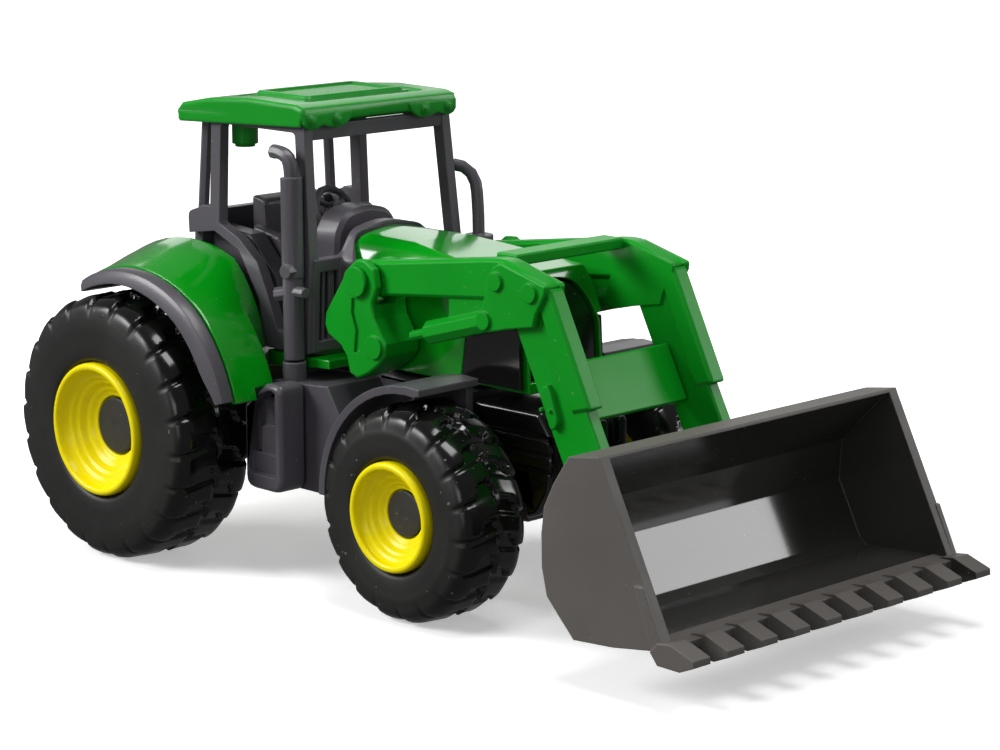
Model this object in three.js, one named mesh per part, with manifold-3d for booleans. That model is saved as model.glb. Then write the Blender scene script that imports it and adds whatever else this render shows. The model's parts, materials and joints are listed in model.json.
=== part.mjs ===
// Toy front loader tractor, right side towards -Y, bucket towards +X, Z up, millimetres.
import * as THREE from 'three';
import { mergeVertices } from 'three/addons/utils/BufferGeometryUtils.js';
import Module from 'manifold-3d';

const wasm = await Module();
wasm.setup();

// ---------------------------------------------------------------- driving dimensions
const SHIFT_X = -8.15;                    // puts the middle of the whole toy over the origin
const GAP = 0.3;                          // clearance left between neighbouring pieces
const REAR = { x: -45.24, r: 22.24, rim: 11.2, tyreOut: 38.5, tyreIn: 22.0, lip: 39.1, lugs: 22 };
const FRONT = { x: 17.88, r: 17.1, rim: 8.75, tyreOut: 30.6, tyreIn: 16.3, lip: 31.3, lugs: 18 };
const LUG_HEIGHT = 0.95;
const AXLE_R = 1.25;
const LIFT = { x: -3.3, z: 49.8 };        // boom pivot in the loader brackets
const TILT = { x: 46.7, z: 22.6 };        // bucket pivot at the boom ends
const BOOM_IN = 12.24, BOOM_OUT = 15.7;   // inner and outer faces of each boom
const BUCKET_HALF = 34.0, BUCKET_WALL = 1.9, TEETH = 10, TOOTH_WIDTH = 3.6;
const HOOD_HALF = 9.4, HOOD_BACK = -14.4, HOOD_FRONT = 25.2;
const CAB_HALF = 16.3, CAB_INNER = 14.5, CAB_TOP = 73.3;
const ROOF_HALF = 17.3;

// ---------------------------------------------------------------- small builders
const solid = (geometry) => {
  let g = geometry.clone();
  g.deleteAttribute('normal');
  g.deleteAttribute('uv');
  g = mergeVertices(g, 1e-4);
  const p = g.attributes.position.array, all = g.index.array, t = [];
  for (let i = 0; i < all.length; i += 3)
    if (all[i] !== all[i + 1] && all[i + 1] !== all[i + 2] && all[i] !== all[i + 2])
      t.push(all[i], all[i + 1], all[i + 2]);
  let volume = 0;
  for (let i = 0; i < t.length; i += 3) {
    const [a, b, c] = [t[i] * 3, t[i + 1] * 3, t[i + 2] * 3];
    volume += p[a] * (p[b + 1] * p[c + 2] - p[b + 2] * p[c + 1])
      - p[a + 1] * (p[b] * p[c + 2] - p[b + 2] * p[c]) + p[a + 2] * (p[b] * p[c + 1] - p[b + 1] * p[c]);
  }
  if (volume < 0) for (let i = 0; i < t.length; i += 3) [t[i + 1], t[i + 2]] = [t[i + 2], t[i + 1]];
  return new wasm.Manifold(new wasm.Mesh({
    numProp: 3, vertProperties: new Float32Array(p), triVerts: new Uint32Array(t) }));
};
const join = (...parts) => parts.reduce((a, b) => a.add(b));
const cut = (a, ...tools) => tools.reduce((s, t) => s.subtract(t), a);
const mirror = (m) => m.mirror([0, 1, 0]);
const rad = (deg) => deg * Math.PI / 180;

// outline with optional rounded corners: points are [u, v] or [u, v, radius]
const outline = (points, steps = 3) => {
  const out = [];
  points.forEach((p, i) => {
    if (!p[2]) { out.push(new THREE.Vector2(p[0], p[1])); return; }
    const a = new THREE.Vector2(...points[(i + points.length - 1) % points.length].slice(0, 2));
    const b = new THREE.Vector2(...points[(i + 1) % points.length].slice(0, 2));
    const c = new THREE.Vector2(p[0], p[1]);
    const r = Math.min(p[2], 0.48 * a.distanceTo(c), 0.48 * b.distanceTo(c));
    const da = a.clone().sub(c).normalize(), db = b.clone().sub(c).normalize();
    const s = c.clone().addScaledVector(da, r), e = c.clone().addScaledVector(db, r);
    for (let k = 0; k <= steps; k++) {
      const t = k / steps;
      out.push(s.clone().multiplyScalar((1 - t) ** 2).addScaledVector(c, 2 * t * (1 - t))
        .addScaledVector(e, t * t));
    }
  });
  return out;
};
const AXES = {   // where the outline's u, v and the extrusion go
  side: new THREE.Matrix4().set(1, 0, 0, 0, 0, 0, -1, 0, 0, 1, 0, 0, 0, 0, 0, 1),    // u=X v=Z, along -Y
  front: new THREE.Matrix4().set(0, 0, 1, 0, 1, 0, 0, 0, 0, 1, 0, 0, 0, 0, 0, 1),   // u=Y v=Z, along +X
  plan: new THREE.Matrix4(),                                                        // u=X v=Y, along +Z
};
const slab = (plane, points, from, to, bevel = 0, steps = 3) => {
  const shape = new THREE.Shape(outline(points, steps));
  const g = new THREE.ExtrudeGeometry(shape, { depth: to - from - 2 * bevel, steps: 1, curveSegments: 6,
    bevelEnabled: bevel > 0, bevelThickness: bevel, bevelSize: bevel, bevelOffset: -bevel,
      bevelSegments: 1 });
  g.translate(0, 0, plane === 'side' ? -to + bevel : from + bevel);
  return solid(g.applyMatrix4(AXES[plane]));
};
const box = (x0, x1, y0, y1, z0, z1, bevel = 0) =>
  slab('plan', [[x0, y0], [x1, y0], [x1, y1], [x0, y1]], z0, z1, bevel);
const rod = (axis, c, r, from, to, seg = 16, r2 = r) => {      // cylinder or cone along an axis
  const g = new THREE.CylinderGeometry(r2, r, to - from, seg, 1);
  g.translate(0, (from + to) / 2, 0);
  if (axis === 'y') g.translate(c[0], 0, c[1]);
  if (axis === 'z') g.rotateX(Math.PI / 2).translate(c[0], c[1], 0);
  if (axis === 'x') g.rotateZ(-Math.PI / 2).translate(0, c[0], c[1]);
  return solid(g);
};
const strut = (a, b, r, seg = 8, r2 = r) => {                  // round bar between two points
  const A = new THREE.Vector3(...a), B = new THREE.Vector3(...b), d = B.clone().sub(A);
  const g = new THREE.CylinderGeometry(r2, r, d.length(), seg, 1);
  g.translate(0, d.length() / 2, 0);
  g.applyQuaternion(new THREE.Quaternion().setFromUnitVectors(new THREE.Vector3(0, 1, 0), d.normalize()));
  return solid(g.translate(A.x, A.y, A.z));
};
const pipe = (points, r, seg = 10, steps = 12) => {
  const path = new THREE.CatmullRomCurve3(points.map((p) => new THREE.Vector3(...p)));
  const ring = new THREE.Shape(Array.from({ length: seg }, (_, i) =>
    new THREE.Vector2(r * Math.cos(2 * Math.PI * i / seg), r * Math.sin(2 * Math.PI * i / seg))));
  return solid(new THREE.ExtrudeGeometry(ring, { steps, extrudePath: path, bevelEnabled: false }));
};
const turned = (profile, seg, x, z,
  sign) => {                 // [radius, distance out] about a wheel axle
  const g = new THREE.LatheGeometry(profile.map(([r, h]) => new THREE.Vector2(r, h)), seg);
  g.scale(1, sign, 1);
  return solid(g.translate(x, 0, z));
};
// curved panel about a wheel centre; section(angle) gives a loop of [radius, y]
const arch = (section, x, z, a0, a1, n) => {
  const pos = [], index = [], rings = [];
  for (let i = 0; i <= n; i++) {
    const a = a0 + (a1 - a0) * i / n, loop = section(a);
    rings.push(pos.length / 3);
    for (const [r, y] of loop) pos.push(x + r * Math.cos(rad(a)), y, z + r * Math.sin(rad(a)));
  }
  const m = section(a0).length;
  for (let i = 0; i < n; i++) for (let k = 0; k < m; k++) {
    const a = rings[i] + k, b = rings[i] + (k + 1) % m, c = rings[i + 1] + k, d = rings[i + 1]
      + (k + 1) % m;
    index.push(a, b, d, a, d, c);
  }
  for (const [ring, a, flip] of [[rings[0], a0, false], [rings[n], a1, true]]) {
    const loop = section(a).map(([r, y]) => new THREE.Vector2(r, y));
    for (const [i, j, k] of THREE.ShapeUtils.triangulateShape(loop, []))
      index.push(ring + i, ring + (flip ? k : j), ring + (flip ? j : k));
  }
  const area = THREE.ShapeUtils.area(section(a0).map(([r, y]) => new THREE.Vector2(r, y)));
  if (area > 0) for (let i = n * m * 6; i < index.length; i += 3)
    [index[i + 1], index[i + 2]] = [index[i + 2], index[i + 1]];
  const g = new THREE.BufferGeometry();
  g.setAttribute('position', new THREE.Float32BufferAttribute(pos, 3));
  g.setIndex(index);
  return solid(g);
};

const paint = (color, roughness, metalness = 0) => ({ color, roughness, metalness });
const GLOSS_GREEN = paint(0x008c14, 0.22), SATIN_GREEN = paint(0x23962d, 0.45),
  YELLOW = paint(0xebe614, 0.4);
const PLASTIC = paint(0x504c52, 0.5), BLACK = paint(0x141414, 0.25), RUBBER = paint(0x232120, 0.7);
const BUCKET_GREY = paint(0x5a5650, 0.55), HUB_GREY = paint(0x3a3936, 0.6), STEEL = paint(0xb4b4b8,
  0.35, 1);

const group = new THREE.Group();
group.name = 'toy_front_loader';
const put = (name, m, finish, bend) => {                        // bend moves each point, if given
  const mesh = m.getMesh();
  const g = new THREE.BufferGeometry();
  g.setAttribute('position', new THREE.BufferAttribute(new Float32Array(mesh.vertProperties), 3));
  g.setIndex(new THREE.BufferAttribute(new Uint32Array(mesh.triVerts), 1));
  if (bend) bend(g.attributes.position);
  g.translate(SHIFT_X, 0, 0);
  g.computeVertexNormals();
  const part = new THREE.Mesh(g, new THREE.MeshStandardMaterial(finish));
  part.name = name;
  group.add(part);
};
const putPair = (name, right, finish) => {                     // right side is built, left is its mirror
  put(name + '_right', right, finish);
  put(name + '_left', mirror(right), finish);
};

// ---------------------------------------------------------------- wheels
const lug = (w, from, to, centreAngle, pitch) => {             // one tread block of one half of the tyre
  const half = 0.31 * pitch, skew = 0.30 * pitch;
  const rows = [[from, w.r, 0, 1], [to, w.r - 0.3, 1, 1]];
  const pos = [], index = [];
  for (const [h, r, t, wide] of rows) for (const [dr, side] of [[0, -1], [0, 1], [-2.2, 1.15],
    [-2.2, -1.15]]) {
    const a = centreAngle - skew * t + side * half * wide;
    pos.push((r + dr) * Math.cos(a), h, (r + dr) * Math.sin(a));
  }
  for (let k = 0; k < 4; k++) {
    const a = k, b = (k + 1) % 4;
    index.push(a, b, b + 4, a, b + 4, a + 4);
  }
  index.push(0, 2, 1, 0, 3, 2, 4, 5, 6, 4, 6, 7);
  const g = new THREE.BufferGeometry();
  g.setAttribute('position', new THREE.Float32BufferAttribute(pos, 3));
  g.setIndex(index);
  return solid(g);
};
const wheel = (w, label) => {
  const base = w.r - LUG_HEIGHT, mid = (w.tyreOut + w.tyreIn) / 2, bead = w.rim + 0.3;
  const carcass = turned([[bead, w.tyreIn + 1.0], [base - 2.6, w.tyreIn], [base, w.tyreIn + 2.0],
    [base, w.tyreOut - 2.0], [base - 2.6, w.tyreOut], [bead, w.tyreOut - 0.7],
    [bead, w.tyreIn + 1.0]], w.lugs, 0, 0, 1);
  const pitch = 2 * Math.PI / w.lugs;
  let tyre = carcass;
  for (let i = 0; i < w.lugs; i++) {
    tyre = join(tyre, lug(w, mid + 0.1, w.tyreOut - 0.9, i * pitch, pitch),
      lug(w, mid - 0.1, w.tyreIn + 0.9, (i + 0.5) * pitch, pitch));
  }
  const r = w.rim, lip = w.lip, k = r / 11.2;                  // the dish scales with the rim
  const rim = turned([[AXLE_R + GAP, lip - 14.6 * k], [r, lip - 14.6 * k], [r, lip - 0.5], [r - 0.4, lip],
    [r - 1.1, lip], [8.9 * k, lip - 1.7 * k], [7.9 * k, lip - 2.2 * k], [7.4 * k, lip - 3.4 * k],
    [6.4 * k, lip - 4.0 * k], [5.0 * k, lip - 4.9 * k], [5.0 * k, lip - 6.0 * k],
    [AXLE_R + GAP, lip - 6.0 * k], [AXLE_R + GAP, lip - 14.6 * k]], 22, 0, 0, 1);
  const cap = turned([[0, lip - 5.9 * k], [5.0 * k - GAP, lip - 5.9 * k], [5.0 * k - GAP, lip - 4.8 * k],
    [0, lip - 4.8 * k]], 18, 0, 0, 1);
  for (const [side, sign] of [['right', -1], ['left', 1]]) {
    const place = (m) => (sign < 0 ? mirror(m) : m).translate([w.x, 0, w.r]);
    put(`${label}_tyre_${side}`, place(tyre), RUBBER);
    put(`${label}_rim_${side}`, place(rim), YELLOW);
    put(`${label}_hub_cap_${side}`, place(cap), HUB_GREY);
  }
  const reach = lip - 6.3 * k;
  put(`${label}_axle`, rod('y', [w.x, w.r], AXLE_R, -reach, reach, 12), STEEL);
};
wheel(REAR, 'rear');
wheel(FRONT, 'front');

// ---------------------------------------------------------------- chassis and side boxes
const boreR = AXLE_R + GAP;
put('chassis_frame', cut(join(
  slab('side', [[-54, 17, 2], [-54, 31, 2], [-27, 33.2], [-19, 33.2], [-6, 33.4], [13.6, 33.0],
    [13.6, 13.4, 1.5], [-8, 13.0],
    [-38, 13.0, 2]], -9.0, 9.0, 0.5),
  slab('side', [[-21.0, 14.4, 2], [-21.0, 31.6], [-7.4, 32.5], [-4.4, 28], [-4.4, 16.4, 2], [-9, 14.4]],
    -20.6, 20.6),
  rod('y', [REAR.x, REAR.r], 5.2, -21.2, 21.2, 16), box(10.5, 25.2, -7.6, 7.6, 13.4, 20.8, 0.4),
  rod('y', [FRONT.x, FRONT.r], 3.9, -15.6, 15.6, 14),
  rod('z', [-16.4, -19.6], 2.0, 30, 35.3, 12), rod('z', [-16.4, 19.6], 2.0, 30, 35.3, 12)),
rod('y', [REAR.x, REAR.r], boreR, -30, 30, 12), rod('y', [FRONT.x, FRONT.r], boreR, -30, 30, 12)),
  PLASTIC);

putPair('step_box', cut(join(
  cut(slab('side', [[-21.4, 14.6, 2], [-21.4, 28.4], [-18.9, 30.2], [-16.2, 32.6, 1.0],
    [-12.2, 32.6, 1.6], [-12.2, 14.6, 2.2]], -26.4, -20.9, 0.6),
  slab('side', [[-20.4, 17.2, 0.6], [-20.4, 28.0], [-18.3, 29.7], [-15.6, 31.5, 1], [-13.7, 31.5, 0.6],
    [-13.7, 17.2, 0.6]], -27, -23.9)),
  box(-20.6, -13.5, -25.3, -23.5, 17.0, 20.6, 0.2), box(-18.9, -13.5, -24.9, -23.5, 20.3, 25.2, 0.2),
  box(-18.5, -13.5, -24.5, -23.5, 24.9, 29.6, 0.2)),
rod('z', [-16.4, -19.6], 2.35, 29, 34, 12)), PLASTIC);

const supportGroove = (z) => slab('side', [[12, z - 0.35], [34, z - 0.35], [34, z + 0.35], [12, z
  + 0.35]], -10, -8.3);
let support = join(slab('side', [[13.9, 21.2], [25.5, 21.2], [25.5, 14.2], [28.2, 15.4],
  [30.6, 19.2], [31.4, 24],
  [31.0, 28.6], [28.6, 31.8], [13.9, 31.8]], -8.7, 8.7, 0.6));
for (const z of [22.6, 25.2, 27.8]) support = cut(support, supportGroove(z), mirror(supportGroove(z)));
for (const y of [-6.6, -2.2, 2.2, 6.6]) support = join(support, box(29.6, 32.4, y - 0.9, y + 0.9,
  20, 29.6, 0.3));
put('front_support', support, PLASTIC);

// ---------------------------------------------------------------- fenders
const guard = arch(() => [[20.1, -27.2], [20.1, -14.4], [18.8, -14.4], [18.8, -27.2]], FRONT.x,
  FRONT.r, 83, 181, 14);
const guardStay = join(
  slab('side', [[7.2, 30.2], [20.0, 30.2], [20.0, 36.9], [14.0, 36.6], [8.6, 34.6]], -15.8, -14.4, 0.2),
  box(9.0, 13.0, -15.2, -9.9, 30.6, 33.0));
putPair('front_fender', join(guard, guardStay,
  slab('side', [[17.5, 36.0], [21.0, 36.0], [21.0, 37.1], [17.5, 37.3]], -27.2, -14.4)), PLASTIC);

const drop = (a) => Math.max(0, a - 50) * 0.042;        // the mudguard hugs the tyre towards the rear
const innerRadius = (a) => (a > 66 ? 30.8 : a > 20 ? 20.8 + (a - 20) * 10 / 46 : 20.8) - 0.4 * drop(a);
const hump = (a) => Math.min(Math.max(0, (a - 40) / 40), 1.1) * 0.8;
putPair('rear_fender', cut(join(
  arch((a) => [[28.5 - drop(a), -31.0], [28.9 - 0.8 * drop(a), -27.5], [29.3 + hump(a) - 0.75 * drop(a), -23.2],
    [innerRadius(a), -17.9], [innerRadius(a) - 1.5, -17.9], [27.6 - 0.75 * drop(a), -23.2],
    [27.3 - 0.8 * drop(a), -27.5], [27.2 - drop(a), -31.0]],
  REAR.x, REAR.r, 15, 118, 18),
  arch(() => [[22.0, -19.2], [22.0, -17.9], [8.0, -17.9], [8.0, -19.2]], REAR.x, REAR.r, 16, 117, 10),
  arch((a) => [[innerRadius(a) - 0.6, -19.2], [innerRadius(a) - 0.6, -17.9], [19.5, -17.9],
    [19.5, -19.2]],
    REAR.x, REAR.r, 16, 117, 14)), slab('side', [[-21.7, 10], [-21.7, 28.6], [-19.1, 30.55], [-16.3, 33.0],
  [-8, 33.0], [-8, 10]], -26.8, -17)), GLOSS_GREEN);

const lipRadius = (a) => 25.2 - 0.7 * drop(a) + Math.max(0, 27 - a) * 0.15;
const rearFlap = arch(() => [[23.3, -33.4], [24.2, -31.4], [24.75, -27.5], [25.1, -23.2], [26.2, -20.0],
  [23.3, -20.0]], REAR.x, REAR.r, 107, 112, 2);
putPair('fender_flare', join(rearFlap, arch((a) => [[28.2 - drop(a), -31.3], [28.15 - drop(a), -32.5],
  [27.8 - drop(a), -33.3], [27.0 - drop(a), -33.8], [lipRadius(a), -34.05], [lipRadius(a) - 0.1, -33.3],
  [26.9 - drop(a), -32.7], [27.05 - drop(a), -31.3]], REAR.x, REAR.r, 16, 112, 22)), PLASTIC);

// ---------------------------------------------------------------- hood, sills and grille
const hoodOutline = (half, top, bottom) => [[-half, bottom], [half, bottom], [half, top - 5.2, 2.2],
  [half - 2.2, top - 1.2, 1.8], [0, top, 3], [-half + 2.2, top - 1.2, 1.8], [-half, top - 5.2, 2.2]];
const slopeCut = slab('side', [[-20, 56.4], [-2, 55.0], [21.8, 52.6], [25.6, 44], [26.4, 34],
  [27, 20], [40, 20],
  [40, 70], [-20, 70]], -20, 20);
const hoodBody = cut(slab('front', hoodOutline(HOOD_HALF, 56.0, 34.3), HOOD_BACK, HOOD_FRONT + 1.2),
  slopeCut);
const hoodCore = cut(slab('front', hoodOutline(HOOD_HALF - 1.6, 54.3, 30), HOOD_BACK + 1.6,
  HOOD_FRONT - 6),
  slopeCut.translate([-1.6, 0, -1.6]));
const grillePocket = slab('side', [[11.6, 32], [13.4, 45.2], [27, 45.2], [27, 32]], -12,
  -HOOD_HALF + 1.0);
const noseRim = slab('front', hoodOutline(HOOD_HALF - 1.5, 51.6, 36.2), 18, 30);
const sill = slab('side', [[-26.0, 32.9], [-26.0, 35.6], [HOOD_BACK, 35.6], [HOOD_BACK, 34.0]],
  -17.2, -14.0);
const sillTie = slab('side', [[HOOD_BACK - 1.5, 34.0], [HOOD_BACK - 1.5, 35.6], [-10.6, 35.8],
  [-10.6, 34.3]],
  -17.2, 17.2);
put('hood_shell', join(cut(hoodBody, hoodCore, grillePocket, mirror(grillePocket), noseRim), sill,
  mirror(sill),
  sillTie), GLOSS_GREEN);

const sideInsert = slab('side', [[12.1, 35.0], [13.8, 44.8], [18.6, 44.8], [24.9, 44.6], [25.4, 35.0]],
  -HOOD_HALF - 0.1, -HOOD_HALF + 0.7);
put('grille_insert', join(
  cut(slab('front', hoodOutline(HOOD_HALF - 1.8, 51.3, 36.5), 20.0, 26.2),
    slopeCut.translate([-0.7, 0, 0])),
  box(20.0, 25.2, -7.4, 7.4, 36.6, 38.0)), BLACK);
putPair('grille_side', sideInsert, BLACK);

// ---------------------------------------------------------------- cab
const sideWall = slab('side', [[-42.6, CAB_TOP], [-17.1, CAB_TOP], [-15.1, 52], [-14.9, 36.4],
  [-26.0, 36.2],
  [-27.4, 43.7], [-32.8, 51.4], [-39.2, 54.0], [-45.8, 53.0], [-46.2, 56.6, 1], [-42.6, 57.8]],
    -CAB_HALF, -CAB_INNER);
const doorway = slab('side', [[-38.0, 72.1, 0.8], [-19.3, 72.1, 0.8], [-17.3, 52], [-17.3, 39.2, 0.8],
  [-22.7, 39.2, 0.5], [-25.3, 44.8], [-28.2, 50.0], [-33.0, 53.4], [-38.0, 55.4]], -20, -10);
const quarter = slab('side', [[-43.6, 72.1], [-40.4, 72.1], [-40.4, 58.0], [-43.6, 58.0]], -20, -10);
const cabSide = cut(sideWall, doorway, quarter);
const cPost = strut([-44.9, -13.4, CAB_TOP - 0.4], [-45.2, -13.9, 55], 0.95, 6);
const cabFrame = join(cabSide, mirror(cabSide), cPost, mirror(cPost),
  box(-19.0, -17.1, -14.8, 14.8, 70.9, CAB_TOP), box(-46.0, -43.6, -14.6, 14.6, 72.1, CAB_TOP),
  box(-46.2, -44.2, -14.8, 14.8, 37.0, 56.6), box(-42.8, -41.4, -16.2, -13.0, 72.1, CAB_TOP),
  box(-42.8, -41.4, 13.0, 16.2, 72.1, CAB_TOP), box(-46.0, -42.0, -15.8, -13.0, 54.8, 56.6),
  box(-46.0, -42.0, 13.0, 15.8, 54.8, 56.6), box(-44, -42.4, -14.6, 14.6, 72.1, CAB_TOP));
const bulkhead = slab('front', [[-15.4, 36.6], [15.4, 36.6], [15.4, 51.6], [8.8, 51.6, 1],
  [6.4, 55.6, 1.5], [0, 57.0, 3],
  [-6.4, 55.6, 1.5], [-8.8, 51.6, 1], [-15.4, 51.6]], -16.9, -14.8);
const collar = cut(slab('front', [[-10.6, 47], [10.6, 47], [10.6, 51.0, 1], [7.4, 55.4, 1.5],
  [0, 57.0, 3],
  [-7.4, 55.4, 1.5], [-10.6, 51.0, 1]], -15.0, -11.6),
slab('front', hoodOutline(HOOD_HALF + GAP, 56.3, 30), -14.7, -10),
slab('side', [[-14.6, 60], [-14.6, 54.8], [-11, 49.6], [-11, 60]], -20, 20));
const footPocket = box(-16.3, -14, -14.3, -10.9, 38.2, 49.6);        // recess with ribs under the sill
const footRibs = join(box(-16.5, -15.1, -13.5, -13.0, 38, 49.8), box(-16.5, -15.1, -12.2, -11.7, 38, 49.8));
const front = join(cut(join(bulkhead, collar), footPocket, mirror(footPocket)), footRibs, mirror(footRibs));
put('cab_frame', join(cabFrame, front), PLASTIC, (p) => {      // the cab widens downwards
  for (let i = 0; i < p.count; i++) {
    const y = p.getY(i), drop = Math.max(0, CAB_TOP - p.getZ(i));
    p.setY(i, y * (1 + 0.0026 * drop * (Math.abs(y) > 12 ? 1 : 0.3)));
  }
});

put('cab_tub', join(box(-44.0, -17.3, -13.9, 13.9, 35.9, 37.6, 0.2),
  slab('side', [[-43.6, 37], [-43.6, 54.4], [-34, 53.6], [-27.6, 47.0], [-25.0, 40], [-24.4, 37]],
    -13.9, -10.2, 0.3),
  slab('side', [[-43.6, 37], [-43.6, 54.4], [-34, 53.6], [-27.6, 47.0], [-25.0, 40], [-24.4, 37]],
    10.2, 13.9, 0.3)), PLASTIC);
put('seat', join(box(-39, -29.5, -7, 7, 38.0, 49.6, 0.6),
  slab('side', [[-41.4, 48], [-37.4, 48], [-38.0, 58.2, 1], [-41.6, 59.0, 1]], -6.9, 6.9, 0.4),
  slab('side', [[-38.6, 48], [-30.5, 48], [-31.2, 53.0, 1], [-38.6, 54.2]], -9.6, -7.2, 0.5),
  slab('side', [[-38.6, 48], [-30.5, 48], [-31.2, 53.0, 1], [-38.6, 54.2]], 7.2, 9.6, 0.5),
  box(-38, -31, -8.4, 8.4, 45.0, 49.4)), PLASTIC);
put('dash_console', cut(join(
  slab('front', [[-7.2, 38.0], [7.2, 38.0], [7.2, 54.5, 2], [5.0, 57.6, 1.5], [0, 58.8, 2.5],
    [-5.0, 57.6, 1.5],
    [-7.2, 54.5, 2]], -25.6, -19.6, 0.7),
  box(-22.6, -17.4, -11.6, 11.6, 44.0, 50.4, 0.4)), box(-20.6, -16, -8.4, -5.0, 46, 49.4)), PLASTIC);
const wheelTilt = (m) => m.rotate([0, 62, 0]).translate([-28.4, 0, 57.2]);
const spokes = [0, 120, 240].map((a) => strut([0, 0, 0],
  [3.6 * Math.cos(rad(a)), 3.6 * Math.sin(rad(a)), 0], 0.5, 6));
const ring = solid(new THREE.TorusGeometry(3.6, 0.62, 6, 14));
put('steering_wheel', wheelTilt(join(ring, ...spokes, rod('z', [0, 0], 1.1, -0.6, 0.6, 10),
  rod('z', [0, 0], 0.7, -0.4, 2.6, 8))), PLASTIC);

// ---------------------------------------------------------------- roof
const roofSlab = slab('side', [[-47.4, CAB_TOP + 0.3], [-48.0, 74.1], [-47.0, 75.0], [-40, 76.3],
  [-30, 77.0], [-18.4, 76.8], [-16.5, 76.3], [-16.2, 75.4], [-16.4, 74.2], [-17.4, CAB_TOP + 0.3]],
-ROOF_HALF, ROOF_HALF, 0.4);
const skirt = slab('side', [[-47.9, 71.8, 0.4], [-47.9, 73.8], [-16.9, 74.6], [-16.9, 73.2, 0.4]],
  -ROOF_HALF, -16.7, 0.15);
const rearSkirt = box(-48.0, -46.6, -ROOF_HALF + 0.1, ROOF_HALF - 0.1, 71.9, 73.9, 0.25);
const lobes = (s) => slab('front', [[17.0 * s, 75.4], [17.0 * s, 73.8], [16.4 * s, 73.1],
  [15.5 * s, 72.8], [14.2 * s, 73.0],
  [12.8 * s, 73.4], [11.4 * s, 73.0], [9.8 * s, 72.75], [8.2 * s, 73.1], [6.9 * s, 74.0],
    [6.0 * s, 75.4]], -16.8, -16.3 + 0.2);
const panelRecess = cut(slab('plan', [[-38.2, -13.4, 2], [-19.6, -13.4, 2], [-19.6, 13.4, 2],
  [-38.2, 13.4, 2]], 76.3, 80),
  slab('plan', [[-36.4, -11.8, 1.6], [-21.4, -11.8, 1.6], [-21.4, 11.8, 1.6], [-36.4, 11.8, 1.6]],
    76, 81));
const boss = join(rod('z', [-37.6, -11.4], 2.2, 68.4, CAB_TOP + 0.8, 10),
  rod('z', [-37.6, -11.4], 1.7, 67.9, 69, 10));
const lampBump = (y, z) => join(rod('x', [y, z], 1.0, -17, -15.8, 12), rod('x', [y, z], 0.62, -17, -15.45, 12));
put('roof', cut(join(cut(roofSlab, panelRecess), lobes(1), lobes(-1),
  slab('plan', [[-35.6, -11.0, 1.4], [-22.2, -11.0, 1.4], [-22.2, 11.0, 1.4], [-35.6, 11.0, 1.4]],
    76.2, 77.4, 0.3),
  lampBump(-15.3, 74.2), lampBump(-9.9, 74.1), lampBump(9.9, 74.1), lampBump(15.3, 74.2), skirt, mirror(skirt), rearSkirt, boss, mirror(boss), rod('x', [-15.6, 73.2], 0.8, -49.2, -47.4, 8)),
  box(-34.3, -23.5, -9.7, 9.7, 77.05, 79)), SATIN_GREEN);

// ---------------------------------------------------------------- exhaust and intake pipe
const stackFoot = [-16.4, -19.6, 35.6], stackTop = [-17.8, -18.55, 65.2];
put('exhaust_stack', join(strut(stackFoot, stackTop, 1.72, 14), strut([-17.0, -19.15, 49], stackTop,
  1.82, 14),
  pipe([[-17.8, -18.55, 64.8], [-17.9, -18.55, 66.6], [-18.5, -18.6, 68.3], [-20.3, -18.7, 69.1],
    [-21.9, -18.8, 69.1]],
    1.2, 8, 8),
  strut([-19.6, -20.4, 46.0], [-16.8, -19.4, 46.6], 1.25, 8), strut([-16.4, -21.4, 50.2],
    [-16.6, -19.4, 50.2], 1.2, 8),
  strut([-16.9, -19.6, 46.8], [-13.4, -19.6, 46.9], 0.9, 8)), PLASTIC);
put('intake_pipe', join(strut([-16.4, 19.6, 35.6], [-13.4, 19.7, 51.6], 1.7, 10),
  rod('z', [-13.4, 19.7], 2.6, 51.0, 52.2, 12),
  pipe([[-13.4, 19.7, 51.8], [-13.9, 20.0, 57], [-14.8, 20.1, 61.4], [-16.2, 19.4, 63.3],
    [-17.6, 17.6, 64.0]],
    1.1, 8, 8)), PLASTIC);

// ---------------------------------------------------------------- loader brackets and lift pins
const bracketShape = [[-3.7, 53.3], [-1.7, 53.4], [0.4, 52.2], [1.0, 49.3], [-0.1, 46.8],
  [0.2, 44.3], [1.8, 41.9],
  [3.0, 40.4], [2.8, 38.4], [1.3, 36.7], [-1.2, 35.0], [-3.7, 33.9], [-5.6, 34.6], [-6.3, 37.2],
    [-7.7, 38.8],
  [-10.7, 40.3], [-11.5, 41.8], [-11.2, 43.8], [-5.7, 51.8]];
const innerShape = [[-3.7, 53.0], [-1.7, 53.0], [0.2, 51.8], [0.6, 49.3], [-0.1, 46.2],
  [-6.6, 46.2], [-6.6, 50.4]];
const blockShape = [[-8.0, 46.2], [-0.1, 46.2], [0.2, 44.3], [1.8, 41.9], [3.0, 40.4], [2.8, 38.4],
  [1.3, 36.7],
  [-1.2, 35.0], [-3.7, 33.9], [-5.6, 34.6], [-6.3, 37.2], [-7.7, 38.8], [-8.6, 42]];
const relief = slab('side', [[-4.8, 47.0], [-3.4, 46.8], [-2.4, 42.6], [-3.0, 38.6], [-4.4, 38.0],
  [-4.0, 42.0],
  [-5.0, 44.6]], -17.8, -17.0);
putPair('loader_bracket', cut(join(slab('side', bracketShape, -17.4, -16.0, 0.3),
  slab('side', innerShape, -11.9, -10.0), slab('side', blockShape, -16.4, -10.0),
  rod('y', [0.5, 39.6], 1.9, -17.9, -17.0, 16)), relief, rod('y', [LIFT.x, LIFT.z], 1.8, -19, -9,
    16)), SATIN_GREEN);
putPair('lift_pin', join(rod('y', [LIFT.x, LIFT.z], 2.45, -18.3, -17.7, 20), rod('y',
  [LIFT.x, LIFT.z], 1.5, -17.9, -10.2, 16)),
  SATIN_GREEN);

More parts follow.
